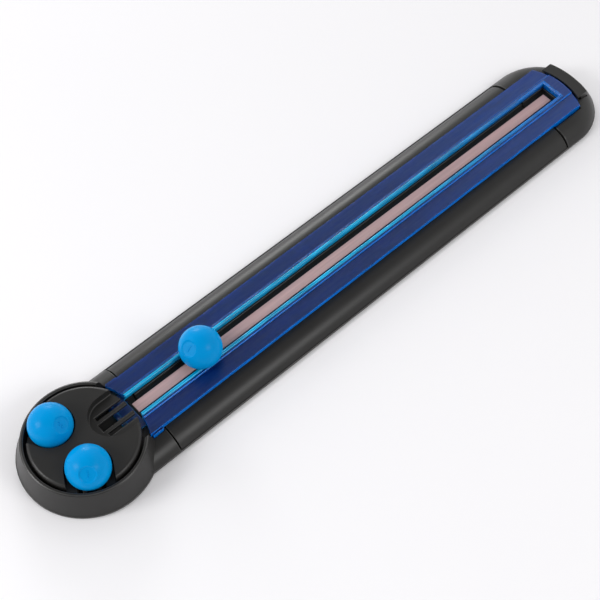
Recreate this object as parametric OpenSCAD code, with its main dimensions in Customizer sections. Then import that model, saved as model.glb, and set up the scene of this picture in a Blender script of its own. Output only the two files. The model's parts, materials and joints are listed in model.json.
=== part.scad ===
// Portable paper trimmer: a long base with a round head at one end, a carousel in the head
// that stores three press-down cutters, and a hinged clear rail that guides the cutter in use.
// Sizes are in millimetres. The head's centre is the drawing origin and the base runs along +X;
// the whole model is then moved so that the middle of its box stands over the origin.

/* [Base] */
// Length of the paper deck between the head and the end cap
deck_length = 310; // [240:1:340]
// Width of the bottom plate along the deck
base_width = 66.8; // [66:0.2:72]
// Width of the flat top between the two rounded shoulders
flat_width = 41.5; // [41.2:0.1:44]
// Height of the paper deck above the table
deck_height = 9.2; // [8.8:0.1:10]
// How far the end cap stands proud of the deck, as a stop for the paper
cap_proud = 0.9; // [0.7:0.1:1.1]
// How far the neck stands proud of the deck, as a stop for the paper
neck_proud = 0.4; // [0.2:0.1:0.6]
// How far the deck is set in from the neck and the end cap at each side
side_inset = 0.5; // [0.3:0.1:0.8]
// Gap of the seams at both ends of the deck
seam_gap = 0.9; // [0.6:0.1:1]
// Straight length of the end cap, before its round end
cap_straight = 12.5; // [12:0.5:18]
// Wall thickness of the base mouldings
wall = 2.2; // [1.8:0.1:2.4]
// Thickness of the bottom plate
plate_thickness = 1.6; // [1.5:0.1:1.8]
// How far the bottom plate stands out beyond the mouldings
plate_lip = 0.4; // [0.2:0.1:0.6]
// Height of the rubber feet below the bottom plate
feet_height = 0.8; // [0.6:0.1:1]
// Radius of the rubber feet
feet_radius = 6; // [5:0.5:7]

/* [Cutting strip] */
// Width of the cutting strip
strip_width = 6.6; // [5.6:0.1:7]
// Thickness of the cutting strip
strip_thickness = 1.2; // [1:0.1:1.4]
// How far the strip stands above the deck
strip_proud = 0.3; // [0.1:0.05:0.4]

/* [Head] */
// Radius of the bottom plate under the head
head_radius = 38; // [37.5:0.5:41]
// Radius of the head at the top of its rim
rim_radius = 33.5; // [33.4:0.1:34.4]
// Height of the rim above the table
rim_height = 18.5; // [18:0.1:19]
// Wall of the rim at its top
rim_wall = 1.9; // [1.6:0.1:2]
// Distance from the head's centre to the near seam
neck_reach = 37.5; // [37:0.5:42]

/* [Carousel] */
// Radius of the carousel
turret_radius = 30; // [29.4:0.1:30.4]
// Height of the carousel's top face above the table
turret_height = 20.3; // [19.6:0.1:20.8]
// Distance of a stored cutter from the carousel's centre
bay_offset = 18.6; // [18.2:0.1:18.7]
// Radius of the bays around the stored knobs
bay_radius = 12.9; // [12.8:0.1:13.4]

/* [Rail] */
// Width of the clear rail
rail_width = 39; // [38:0.5:39.5]
// Thickness of the two bars of the rail
rail_thickness = 3; // [2.8:0.1:3.2]
// Width of the raised band along the middle of the rail
band_width = 19.6; // [18.6:0.1:21]
// How far the band stands above the bars
band_rise = 0.9; // [0.7:0.1:1.1]
// Width of the frame round the slot, on top of the band
frame_width = 2; // [1.8:0.1:2.4]
// How far the frame stands above the band
frame_rise = 0.8; // [0.7:0.1:1.1]
// Width of the slot that the cutter runs in
slot_width = 12.8; // [12.4:0.1:13]
// Thickness of the lips that hold the cutter's shoe down
lip_thickness = 1.6; // [1.4:0.1:1.8]
// Distance from the head's centre to the rail's hinge
hinge_reach = 22.6; // [22.4:0.1:23]
// Radius of the hinge pins
hinge_pin_radius = 0.8; // [0.7:0.05:0.9]

/* [Cutters] */
// Distance of the cutter in use from the head's centre
cutter_reach = 79.3; // [70:0.1:200]
// Radius of the ball knobs
knob_radius = 12.1; // [11.8:0.1:12.2]
// Distance from a ball's centre down to its flat underside
knob_cut = 4; // [3.6:0.1:4.4]
// How far a knob can be pressed down
press_travel = 1.6; // [1.2:0.1:1.6]
// Radius of the blade wheels
wheel_radius = 5; // [4.6:0.1:5]
// Radius of the blade wheels' axles
axle_radius = 0.9; // [0.8:0.05:1]

/* [Latch] */
// Width of the latch
latch_width = 30.4; // [26:0.2:31]
// Depth of the latch from its nose to its outer edge
latch_depth = 7.6; // [7:0.1:8]
// Height of the latch's top face above the rail's bars
latch_rise = 0.6; // [0.5:0.1:1]
// Radius of the latch's pin
latch_pin_radius = 1.2; // [1:0.1:1.3]

/* [Hidden] */
$fn = 96;

// Colours of the mouldings, the clear rail, the strip and the metal
charcoal = [0.2, 0.2, 0.21];
azure = [0.02, 0.56, 0.86];
clear_blue = [0.1, 0.35, 0.75, 0.6];
beige = [0.78, 0.67, 0.64];
steel = [0.72, 0.73, 0.75];
rubber = [0.1, 0.1, 0.1];

// Fits and small clearances
running_gap = 0.05;
slide_gap = 0.2;
side_gap = 0.25;
seat_gap = 0.3;
free_gap = 0.4;
hook_gap = 0.5;
edge_break = 0.5;
overlap = 0.2;
margin = 1;

// Heights of the base
plate_top = feet_height + plate_thickness;
cap_height = deck_height + cap_proud;
neck_height = deck_height + neck_proud;
strip_top = deck_height + strip_proud;
strip_bottom = strip_top - strip_thickness;
floor_drop = 0.7;
floor_thickness = 2;
floor_top = deck_height - floor_drop;
floor_bottom = floor_top - floor_thickness;

// Heights of the rail and of the bay floors, which carry on at the level of its frame
rail_bottom = cap_height + slide_gap;
rail_top = rail_bottom + rail_thickness;
band_top = rail_top + band_rise;
frame_top = band_top + frame_rise;
lip_bottom = frame_top - lip_thickness;

// Heights of the cutters at rest, from the rail up and from the strip up
flange_thickness = 1;
flange_bottom = frame_top + slide_gap;
flange_top = flange_bottom + flange_thickness;
tongue_thickness = 1.2;
tongue_top = lip_bottom - hook_gap;
tongue_bottom = tongue_top - tongue_thickness;
blade_gap = 0.1;
wheel_height = strip_top + blade_gap + press_travel + wheel_radius;
knob_bottom = frame_top + free_gap + press_travel;
knob_height = knob_bottom + knob_cut;
seat_thickness = 1;
seat_bottom = wheel_height + wheel_radius + free_gap;
seat_top = seat_bottom + seat_thickness;

// Lengths of the base, and the middle of the whole box
seam_far = neck_reach + deck_length;
cap_centre = seam_far + cap_straight;
plate_half = base_width / 2;
cap_half = plate_half - plate_lip;
deck_half = cap_half - side_inset;
neck_half = cap_half;
end_reach = cap_centre + plate_half;
middle = (end_reach - head_radius) / 2;

// Plan of the head and of the opening in its rim for the rail
bowl_radius = rim_radius - rim_wall;
head_foot = head_radius - plate_lip;
lug_proud = 1.1;
lug_groove_half = rail_width / 2 + lug_proud + seat_gap;
opening_half = flat_width / 2 + free_gap;
under_radius = head_at(floor_bottom) - wall;

// Plan of the rail: both its ends are arcs
near_arc = 45;
near_gap = 2.7;
near_tip = turret_radius + near_gap;
near_centre = near_tip - near_arc;
far_arc = 42;
tip_reach = 16.2;
far_tip = cap_centre + tip_reach;
far_centre = far_tip - far_arc;
slot_land = 10.6;
slot_end = far_tip - slot_land;
undercut = 0.8;
undercut_half = slot_width / 2 + undercut;
frame_half = slot_width / 2 + frame_width;
frame_end = slot_end + frame_width;
end_lip_depth = 1.2;
end_lip_thickness = 1.6;
skirt_thickness = 1.5;
skirt_drop = 1.8;
skirt_gap = 1;
skirt_land = 5.2;
skirt_start = seam_far + seam_gap / 2 + skirt_gap;
skirt_end = far_tip - skirt_land;

// Guide lugs below the near corners of the rail, in grooves of the head's neck
lug_start = near_tip - 3.5;
lug_end = neck_reach - 1.5;
lug_top_drop = 1;

// Hinge of the rail: a plate below the carousel's floor with a barrel between two posts
barrel_radius = 1.5;
hinge_height = floor_top + barrel_radius - overlap / 2;
hinge_half = 12;
post_width = 3;
hinge_pin_bite = 3.4;
hinge_plate_low = floor_top + hook_gap;
hinge_plate_top = rail_bottom + overlap;
hinge_plate_end = near_tip - 1.3;
hinge_arm_end = neck_reach - 1.5;
barrel_pocket = hinge_height - barrel_radius - hook_gap;

// Strip ends, under the rail's slot, and the channel that leaves the strip's sides free
strip_land = 2.6;
channel_half = slot_width / 2 + overlap;
channel_depth = 1.9;
channel_floor = deck_height - channel_depth;
channel_bed = 1.4;
rib_half = strip_width / 2 - overlap;
strip_start = near_tip + free_gap;
strip_end = slot_end - strip_land;

// Latch: an arc bar over the end cap, turning on a pin across the cap
latch_top = rail_top + latch_rise;
latch_inner = far_arc + hook_gap;
latch_outer = latch_inner + latch_depth;
latch_nose = 2.4;
nose_thickness = 1.1;
bar_thickness = 2.6;
latch_pin_setback = 4;
latch_pin_rise = 4;
latch_pin_reach = far_tip + latch_pin_setback;
latch_pin_height = plate_top + latch_pin_rise;
latch_hub = 2.8;
latch_web = 4.6;
latch_pocket_half = latch_width / 2 + seat_gap;
pocket_near = 3.9;
pocket_far = 4.3;
pocket_wall = 2.2;
pocket_floor = 0.8;
latch_pin_bite = 1.8;
latch_pin_half = latch_pocket_half + latch_pin_bite;

// Carousel: the turns of its bays and of its glides, its hub and what keeps it down
BAYS = [0, 120, 240];
GLIDES = [60, 180, 300];
hub_radius = 6;
neck_radius = 4;
disc_round = 2;
glide_gap = 0.1;
glide_radius = 2.5;
glide_offset = 16;
dimple_radius = 1.6;
dimple_drop = 0.9;
washer_radius = 7;
washer_thickness = 1;
washer_top = floor_bottom - slide_gap;
washer_screw_bite = 6.5;

// Leaf spring that indexes the carousel, and its screw
leaf_width = 5;
leaf_thickness = 0.5;
leaf_length = 13;
leaf_nose = 2;
leaf_screw_reach = 9;
leaf_screw_bite = 1;
bump_radius = 1.5;

// Cutter plan sizes
fork_half = 2.1;
fork_gap = 1.2;
fork_reach = 4;
fork_drop = 2.4;
web_outer = slot_width / 2 - side_gap;
web_thickness = 1;
web_inner = web_outer - web_thickness;
tongue_reach = undercut_half - seat_gap;
shoe_reach = 6.3;
flange_radius = 9.5;
knob_hollow = flange_radius + free_gap;
seat_radius = knob_hollow - seat_gap;
stem_radius = 3;
stem_length = 6;
bay_slot_start = bay_offset - shoe_reach - hook_gap;
blade_slot_start = bay_slot_start - 1.2;
bay_slot_outer = slot_width / 2 + hook_gap;

// Blade wheels; the wave blade's edge runs from side to side
wheel_bore = axle_radius + running_gap;
wheel_hub = 2.4;
wheel_hub_half = 1;
blade_half = 0.3;
blade_bevel = 0.9;
wave_steps = 72;
wave_count = 9;
wave_height = 0.6;
wave_bevel = 0.6;
wave_root = wheel_hub - free_gap;

// Coil springs between the shoes' flanges and the holders' seats
spring_radius = 7;
spring_wire = 0.3;
spring_turns = 4;
spring_rings = 8;
spring_sides = 6;
spring_low = flange_top + spring_wire + running_gap;
spring_high = seat_bottom - spring_wire - running_gap;
echo(spring_gap = (spring_high - spring_low) / spring_turns - 2 * spring_wire);

// Bottom fasteners
screw_radius = 1.4;
screw_head = 2.7;
screw_sink = 1.3;
screw_length = 5.6;
pan_height = 1.6;
recess_reach = 1.6;
recess_half = 0.3;
recess_depth = 0.8;
boss_radius = 3;
hole_gap = 0.05;
head_screw_ring = 24;
deck_screw_inset = 42;
deck_screw_side = 15;
cap_screw_inset = 9;
cap_screw_side = 13;
head_foot_inset = 11;
head_foot_ring = head_radius - head_foot_inset;
near_foot_inset = 12;
foot_side = 22;
SCREWS = concat(
    [for (turn = [90, 210, 330]) head_screw_ring * [cos(turn), sin(turn)]],
    [for (x = [neck_reach + deck_screw_inset, seam_far - deck_screw_inset], side = [-1, 1])
        [x, side * deck_screw_side]],
    [for (side = [-1, 1]) [seam_far + cap_screw_inset, side * cap_screw_side]]
);
FEET = concat(
    [for (turn = [120, 240]) head_foot_ring * [cos(turn), sin(turn)]],
    [for (x = [neck_reach + near_foot_inset, (neck_reach + seam_far) / 2, cap_centre], side = [-1, 1])
        [x, side * foot_side]]
);

// Radius of the head's outer wall at a height
function head_at(height) =
    head_foot - (head_foot - rim_radius) * (height - plate_top) / (rim_height - plate_top);

// Radius of a shoulder that leaves the flat top level and meets the lower edge
function shoulder(top, half) =
    (pow(half - flat_width / 2, 2) + pow(top - plate_top, 2)) / (2 * (top - plate_top));

// Everything below is drawn about the head and moved over the origin here
module placed() {
    translate([-middle, 0, 0]) children();
}

// Cross-section of the base above the bottom plate; an inset gives its hollow
module section(top, half, inset = 0) {
    bend = shoulder(top, half) - inset;
    low = inset > 0 ? plate_top - margin : plate_top;
    crown = top - inset;
    translate([-flat_width / 2, low]) square([flat_width, crown - low]);
    for (side = [0, 1]) mirror([side, 0]) intersection() {
        translate([flat_width / 2, crown - bend]) circle(bend);
        translate([flat_width / 2, low]) square([bend, crown - low]);
    }
}

// A length of the base along X
module bar(top, half, start, end, inset = 0) {
    translate([start, 0, 0]) rotate([90, 0, 90]) linear_extrude(end - start) section(top, half, inset);
}

// The round end of the base
module round_end(top, half, inset = 0) {
    translate([cap_centre, 0, 0]) rotate([0, 0, -90]) rotate_extrude(angle = 180) intersection() {
        section(top, half, inset);
        square([base_width, top]);
    }
}

// A rod lying across the base, between two places along Y
module cross_rod(radius, x, height, start, end) {
    translate([x, end, height]) rotate([90, 0, 0]) cylinder(r = radius, h = end - start);
}

// Channel beside the cutting strip, between two places along X; a rib in it carries the strip
module strip_channel(start, end) {
    length = end - start;
    difference() {
        translate([start, -channel_half, channel_floor]) cube([length, 2 * channel_half, rim_height]);
        translate([start - margin, -rib_half, 0]) cube([length + 2 * margin, 2 * rib_half, strip_bottom]);
    }
}

// Bosses for the bottom screws that stand within a stretch of the base, up to a height
module bosses(start, end, top) {
    for (place = SCREWS) if (place[0] > start && place[0] < end) {
        translate([place[0], place[1], plate_top]) cylinder(r = boss_radius, h = top - plate_top);
    }
}

// Holes for the shanks of the bottom screws
module boss_holes() {
    for (place = SCREWS) {
        translate([place[0], place[1], plate_top - overlap])
            cylinder(r = screw_radius + hole_gap, h = screw_length - screw_sink + overlap);
    }
}

// Round head with the bowl of the carousel, the neck and the hinge posts
module head_housing() {
    color(charcoal) placed() difference() {
        union() {
            difference() {
                union() {
                    difference() {
                        head_shell();
                        translate([0, -opening_half, floor_top])
                            cube([head_radius, 2 * opening_half, rim_height]);
                    }
                    bar(neck_height, neck_half, 0, neck_reach - seam_gap / 2);
                }
                translate([0, 0, floor_top]) cylinder(r = bowl_radius, h = rim_height);
                head_hollow();
                hinge_relief();
            }
            for (side = [0, 1]) mirror([0, side, 0]) hinge_post();
            bosses(-head_radius, neck_reach, floor_bottom + overlap);
        }
        for (side = [0, 1]) mirror([0, side, 0])
            cross_rod(hinge_pin_radius, hinge_reach, hinge_height, hinge_half, post_end());
        translate([0, 0, floor_bottom - overlap])
            cylinder(r = neck_radius + running_gap, h = floor_top - floor_bottom + 2 * overlap);
        strip_channel(strip_start - slide_gap, neck_reach);
        boss_holes();
        leaf_holes();
    }
}

// Outer form of the head above the bottom plate
module head_shell() {
    rotate_extrude() polygon([
        [0, plate_top], [head_foot, plate_top],
        [head_at(rim_height - edge_break), rim_height - edge_break],
        [rim_radius - edge_break, rim_height], [0, rim_height]
    ]);
}

// Hollow under the floor of the head and of its neck
module head_hollow() {
    depth = floor_bottom - plate_top + margin;
    reach = neck_reach + margin;
    translate([0, 0, plate_top - margin]) cylinder(r = under_radius, h = depth);
    intersection() {
        bar(neck_height, neck_half, 0, reach, wall);
        translate([0, -base_width, plate_top - margin]) cube([reach, 2 * base_width, depth]);
    }
}

// Outer face of a hinge post, along Y
function post_end() = hinge_half + seat_gap + post_width;

// Post that holds one hinge pin, on the floor of the bowl
module hinge_post() {
    inner = hinge_half + seat_gap;
    cross_rod(barrel_radius, hinge_reach, hinge_height, inner, post_end());
    translate([hinge_reach - barrel_radius, inner, floor_top - overlap])
        cube([2 * barrel_radius, post_width, hinge_height - floor_top + overlap]);
}

// Room for the hinge plate of the rail, for its barrel and for the lugs at its near corners
module hinge_relief() {
    barrel_room = barrel_radius + free_gap;
    lug_room = rail_width / 2 - skirt_thickness - free_gap;
    translate([0, -opening_half, floor_top]) cube([near_tip - slide_gap, 2 * opening_half, rim_height]);
    translate([hinge_reach - barrel_room, -hinge_half - seat_gap, barrel_pocket])
        cube([2 * barrel_room, 2 * (hinge_half + seat_gap), rim_height]);
    for (side = [0, 1]) mirror([0, side, 0])
        translate([lug_start - margin, lug_room, rail_bottom - skirt_drop - free_gap])
            cube([lug_end - lug_start + margin + free_gap, lug_groove_half - lug_room, rim_height]);
}

// Lowered middle of the base, hollow below, with the channel for the strip
module deck() {
    start = neck_reach + seam_gap / 2;
    end = seam_far - seam_gap / 2;
    color(charcoal) placed() difference() {
        union() {
            difference() {
                bar(deck_height, deck_half, start, end);
                bar(deck_height, deck_half, start + wall, end - wall, wall);
            }
            bosses(neck_reach, seam_far, deck_height - wall + overlap);
            channel_block(start, end, deck_height);
        }
        strip_channel(start - margin, end + margin);
        boss_holes();
    }
}

// Thicker bed under the channel of the strip, up into a moulding of a height
module channel_block(start, end, top) {
    half = channel_half + wall;
    low = channel_floor - channel_bed;
    translate([start, -half, low]) cube([end - start, 2 * half, top - wall + overlap - low]);
}

// Round far end of the base, with the latch pocket and the grooves for the rail's skirts
module end_cap() {
    start = seam_far + seam_gap / 2;
    color(charcoal) placed() difference() {
        union() {
            difference() {
                cap_form(start);
                cap_form(start + wall, wall);
            }
            intersection() {
                cap_form(start);
                latch_block();
            }
            bosses(seam_far, end_reach, cap_height - wall + overlap);
            channel_block(start, slot_end + wall, cap_height);
        }
        latch_pocket();
        cross_rod(latch_pin_radius, latch_pin_reach, latch_pin_height, -latch_pin_half, latch_pin_half);
        skirt_grooves();
        strip_channel(seam_far, slot_end);
        boss_holes();
    }
}

// Outer form of the end cap; an inset gives its hollow
module cap_form(start, inset = 0) {
    bar(cap_height, cap_half, start, cap_centre, inset);
    round_end(cap_height, cap_half, inset);
}

// Solid block around the latch pocket
module latch_block() {
    depth = pocket_near + pocket_far + 2 * pocket_wall;
    half = latch_pocket_half + pocket_wall;
    translate([latch_pin_reach - pocket_near - pocket_wall, -half, plate_top])
        cube([depth, 2 * half, cap_height]);
}

// Pocket that the latch turns in
module latch_pocket() {
    translate([latch_pin_reach - pocket_near, -latch_pocket_half, plate_top + pocket_floor])
        cube([pocket_near + pocket_far, 2 * latch_pocket_half, rim_height]);
}

// Grooves in the end cap that keep the rail's skirts in line
module skirt_grooves() {
    inner = rail_width / 2 - skirt_thickness - free_gap;
    for (side = [0, 1]) mirror([0, side, 0]) {
        translate([seam_far, inner, rail_bottom - skirt_drop - free_gap])
            cube([skirt_end - seam_far + skirt_gap, skirt_thickness + free_gap + skirt_gap, rim_height]);
    }
}

// Flat plate that closes the base below
module bottom_plate() {
    color(charcoal) placed() difference() {
        translate([0, 0, feet_height]) linear_extrude(plate_thickness) plate_plan();
        for (place = SCREWS) translate([place[0], place[1], feet_height]) {
            translate([0, 0, -overlap])
                cylinder(r = screw_radius + hole_gap, h = plate_thickness + 2 * overlap);
            cylinder(r1 = screw_head + hole_gap, r2 = screw_radius + hole_gap, h = screw_sink);
        }
        for (place = FEET) translate([place[0], place[1], 0])
            cylinder(r = feet_radius + running_gap, h = feet_height + plate_thickness / 2);
    }
}

// Outline of the bottom plate
module plate_plan() {
    circle(head_radius);
    translate([0, -plate_half]) square([cap_centre, 2 * plate_half]);
    translate([cap_centre, 0]) circle(plate_half);
}

// Countersunk screws that hold the bottom plate
module plate_screws() {
    color(steel) placed() for (place = SCREWS) translate([place[0], place[1], feet_height]) {
        difference() {
            union() {
                cylinder(r1 = screw_head, r2 = screw_radius, h = screw_sink);
                cylinder(r = screw_radius, h = screw_length);
            }
            cross_recess();
        }
    }
}

// Rubber feet let into the bottom plate
module rubber_feet() {
    color(rubber) placed() for (place = FEET) translate([place[0], place[1], 0])
        cylinder(r = feet_radius, h = feet_height + plate_thickness / 2);
}

// Strip that the blades cut against
module cutting_strip() {
    color(beige) placed() translate([strip_start, -strip_width / 2, strip_bottom])
        cube([strip_end - strip_start, strip_width, strip_thickness]);
}

// Two pins that the rail turns on
module hinge_pins() {
    color(steel) placed() for (side = [0, 1]) mirror([0, side, 0])
        cross_rod(hinge_pin_radius, hinge_reach, hinge_height, hinge_half - hinge_pin_bite + slide_gap,
            post_end() - slide_gap);
}

// Pin that the latch turns on
module latch_pin() {
    color(steel) placed()
        cross_rod(latch_pin_radius, latch_pin_reach, latch_pin_height, -latch_pin_half, latch_pin_half);
}

// Holes in the head's floor for the bump of the leaf and for its screw
module leaf_holes() {
    translate([-glide_offset, 0, floor_bottom - overlap])
        cylinder(r = bump_radius + free_gap, h = floor_top - floor_bottom + 2 * overlap);
    translate([-glide_offset - leaf_screw_reach, 0, floor_bottom - overlap])
        cylinder(r = screw_radius + hole_gap, h = leaf_screw_bite + 2 * overlap);
}

// Leaf spring under the head's floor; its bump rises through the floor below a glide's dimple
module detent_leaf() {
    top = floor_bottom;
    color(steel) placed() translate([-glide_offset, 0, 0]) difference() {
        union() {
            translate([leaf_nose - leaf_length, -leaf_width / 2, top - leaf_thickness])
                cube([leaf_length, leaf_width, leaf_thickness]);
            translate([0, 0, top - leaf_thickness])
                cylinder(r = bump_radius, h = floor_top - floor_bottom - bump_radius + leaf_thickness);
            translate([0, 0, floor_top - bump_radius - free_gap]) sphere(bump_radius);
        }
        translate([-leaf_screw_reach, 0, top - leaf_thickness - overlap])
            cylinder(r = screw_radius + hole_gap, h = leaf_thickness + 2 * overlap);
    }
}

// Screw that holds the leaf spring
module leaf_screw() {
    color(steel) placed() translate([-glide_offset - leaf_screw_reach, 0, floor_bottom - leaf_thickness])
        pan_screw(leaf_thickness + leaf_screw_bite);
}

// Turning carousel with three open bays
module carousel() {
    color(charcoal) placed() difference() {
        union() {
            rotate_extrude() disc_profile();
            translate([0, 0, floor_top + glide_gap])
                cylinder(r = hub_radius, h = lip_bottom - floor_top - glide_gap);
            translate([0, 0, washer_top]) cylinder(r = neck_radius, h = lip_bottom - washer_top);
            for (turn = GLIDES) rotate([0, 0, turn]) translate([glide_offset, 0, floor_top + glide_gap])
                cylinder(r = glide_radius, h = lip_bottom - floor_top);
        }
        for (turn = BAYS) rotate([0, 0, turn]) bay();
        for (turn = GLIDES) rotate([0, 0, turn])
            translate([glide_offset, 0, floor_top + glide_gap - dimple_drop]) sphere(dimple_radius);
        translate([0, 0, washer_top - overlap])
            cylinder(r = screw_radius + hole_gap, h = washer_screw_bite + hook_gap + overlap);
    }
}

// Half profile of the carousel's disc, with its top edge rounded
module disc_profile() {
    depth = turret_height - lip_bottom;
    inner = turret_radius - disc_round;
    translate([0, lip_bottom]) square([inner, depth]);
    translate([0, lip_bottom]) square([turret_radius, depth - disc_round]);
    translate([inner, turret_height - disc_round]) intersection() {
        circle(disc_round);
        square(disc_round);
    }
}

// Space of one bay: the room for a knob, and the slots in its floor for the shoe and the blade
module bay() {
    reach = turret_radius;
    translate([0, 0, frame_top]) linear_extrude(turret_height) {
        translate([bay_offset, 0]) circle(bay_radius);
        translate([bay_offset, -bay_radius]) square([reach, 2 * bay_radius]);
    }
    bay_slot(blade_slot_start, -fork_half - side_gap, fork_half + side_gap);
    for (side = [0, 1]) mirror([0, side, 0])
        bay_slot(bay_slot_start, web_inner - side_gap, bay_slot_outer);
}

// One slot through a bay's floor, from a place along the bay and between two places across it
module bay_slot(start, low, high) {
    translate([start, low, lip_bottom - overlap])
        cube([turret_radius, high - low, lip_thickness + 2 * overlap]);
}

// Washer that keeps the carousel's neck in the head's floor
module carousel_washer() {
    color(steel) placed() translate([0, 0, washer_top - washer_thickness]) difference() {
        cylinder(r = washer_radius, h = washer_thickness);
        translate([0, 0, -overlap])
            cylinder(r = screw_radius + hole_gap, h = washer_thickness + 2 * overlap);
    }
}

// Screw that holds the washer to the carousel's neck
module carousel_screw() {
    color(steel) placed() translate([0, 0, washer_top - washer_thickness])
        pan_screw(washer_thickness + washer_screw_bite);
}

// Pan-head screw that points up, from the underside of what it holds
module pan_screw(length) {
    difference() {
        union() {
            translate([0, 0, -pan_height]) cylinder(r = screw_head, h = pan_height);
            cylinder(r = screw_radius, h = length);
        }
        translate([0, 0, -pan_height]) cross_recess();
    }
}

// Cross recess in the head of a screw
module cross_recess() {
    for (turn = [0, 90]) rotate([0, 0, turn]) translate([-recess_reach, -recess_half, -overlap])
        cube([2 * recess_reach, 2 * recess_half, recess_depth + overlap]);
}

// Plan of the rail at a width, with both its curved ends; a trim draws the far end in
module rail_plan(width, trim = 0) {
    start = near_tip - near_arc / 4;
    difference() {
        translate([start, -width / 2]) square([far_tip - start, width]);
        translate([near_centre, 0]) circle(near_arc);
        difference() {
            translate([far_centre, -rail_width]) square([far_arc * 2, rail_width * 2]);
            translate([far_centre, 0]) circle(far_arc - trim);
        }
    }
}

// Clear rail: two bars joined at both ends, with a raised band, a frame round the slot and a hinge plate
module clear_rail() {
    color(clear_blue) placed() difference() {
        union() {
            difference() {
                rail_form();
                translate([0, -slot_width / 2, 0]) cube([slot_end, slot_width, rim_height]);
                translate([0, -undercut_half, 0]) cube([slot_end + undercut, 2 * undercut_half, lip_bottom]);
            }
            hinge_plate();
        }
        for (side = [0, 1]) mirror([0, side, 0])
            cross_rod(hinge_pin_radius + running_gap, hinge_reach, hinge_height,
                hinge_half - hinge_pin_bite, hinge_half + margin);
    }
}

// Rail before its slot is cut
module rail_form() {
    translate([0, 0, rail_bottom]) {
        linear_extrude(end_lip_thickness) rail_plan(rail_width);
        linear_extrude(rail_thickness) rail_plan(rail_width, end_lip_depth);
    }
    rail_middle(band_width / 2, band_top, far_tip);
    rail_middle(frame_half, frame_top, frame_end);
    for (side = [0, 1]) mirror([0, side, 0]) {
        rail_lug();
        rail_skirt();
    }
}

// Plate that carries the near ends of the bars on under the carousel to the hinge's barrel
module hinge_plate() {
    inner = undercut_half + overlap;
    cross_rod(barrel_radius, hinge_reach, hinge_height, -hinge_half, hinge_half);
    translate([hinge_reach, -hinge_half, hinge_plate_low])
        cube([hinge_plate_end - hinge_reach, 2 * hinge_half, hinge_plate_top - hinge_plate_low]);
    for (side = [0, 1]) mirror([0, side, 0])
        translate([hinge_plate_end - margin, inner, neck_height + slide_gap])
            cube([hinge_arm_end - hinge_plate_end + margin, hinge_half - inner,
                hinge_plate_top - neck_height - slide_gap]);
}

// Raised middle of the rail, to a half width, a height and a place along the rail
module rail_middle(half, top, end) {
    translate([0, 0, rail_bottom]) linear_extrude(top - rail_bottom) intersection() {
        rail_plan(2 * half, end_lip_depth);
        translate([0, -half]) square([end, 2 * half]);
    }
}

// Guide lug below a near corner of the rail
module rail_lug() {
    low = rail_bottom - skirt_drop;
    translate([lug_start, rail_width / 2 - skirt_thickness, low])
        cube([lug_end - lug_start, skirt_thickness + lug_proud, rail_top - lug_top_drop - low]);
}

// Skirt below a side of the rail, in a groove of the end cap
module rail_skirt() {
    translate([skirt_start, rail_width / 2 - skirt_thickness, rail_bottom - skirt_drop])
        cube([skirt_end - skirt_start, skirt_thickness, skirt_drop + overlap]);
}

// Latch that swings over the rail's end lip to hold the rail down
module latch() {
    half = latch_width / 2;
    color(charcoal) placed() difference() {
        union() {
            latch_arc(latch_inner, latch_outer, latch_top - nose_thickness, latch_top);
            latch_arc(latch_inner + latch_nose, latch_outer, latch_top - bar_thickness, latch_top);
            cross_rod(latch_hub, latch_pin_reach, latch_pin_height, -half, half);
            translate([latch_pin_reach - latch_web / 2, -half, latch_pin_height])
                cube([latch_web, latch_width, latch_top - bar_thickness / 2 - latch_pin_height]);
        }
        cross_rod(latch_pin_radius + running_gap, latch_pin_reach, latch_pin_height,
            -half - margin, half + margin);
    }
}

// Arc bar of the latch, concentric with the rail's far end, between two radii and two heights
module latch_arc(inner, outer, low, high) {
    translate([far_centre, 0, low]) linear_extrude(high - low) intersection() {
        difference() {
            circle(outer);
            circle(inner);
        }
        translate([0, -latch_width / 2]) square([2 * outer, latch_width]);
    }
}

// Places of the three cutters: one on the rail, two stored in the carousel
module at_straight() {
    placed() translate([cutter_reach, 0, 0]) children();
}

module at_wave() {
    placed() rotate([0, 0, BAYS[1]]) translate([bay_offset, 0, 0]) children();
}

module at_score() {
    placed() rotate([0, 0, BAYS[2]]) translate([bay_offset, 0, 0]) children();
}

// Shoe that slides on the rail: a round flange above and two feet hooked below the lips
module shoe() {
    color(charcoal) difference() {
        union() {
            translate([0, 0, flange_bottom]) cylinder(r = flange_radius, h = flange_thickness);
            for (side = [0, 1]) mirror([0, side, 0]) {
                translate([-shoe_reach, web_inner, tongue_bottom])
                    cube([2 * shoe_reach, web_thickness, flange_bottom - tongue_bottom + overlap]);
                translate([-shoe_reach, web_inner, tongue_bottom])
                    cube([2 * shoe_reach, tongue_reach - web_inner, tongue_thickness]);
            }
        }
        translate([-wheel_radius - free_gap, -fork_half - side_gap, 0])
            cube([2 * (wheel_radius + free_gap), 2 * (fork_half + side_gap), rim_height]);
    }
}

// Ball knob with a flat, hollow underside
module knob() {
    color(azure) difference() {
        translate([0, 0, knob_height]) sphere(knob_radius);
        translate([-knob_radius, -knob_radius, 0]) cube([2 * knob_radius, 2 * knob_radius, knob_bottom]);
        translate([0, 0, knob_bottom - overlap])
            cylinder(r = knob_hollow, h = seat_top - knob_bottom + overlap);
        translate([0, 0, seat_top - overlap]) cylinder(r = stem_radius, h = stem_length + overlap);
    }
}

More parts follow.
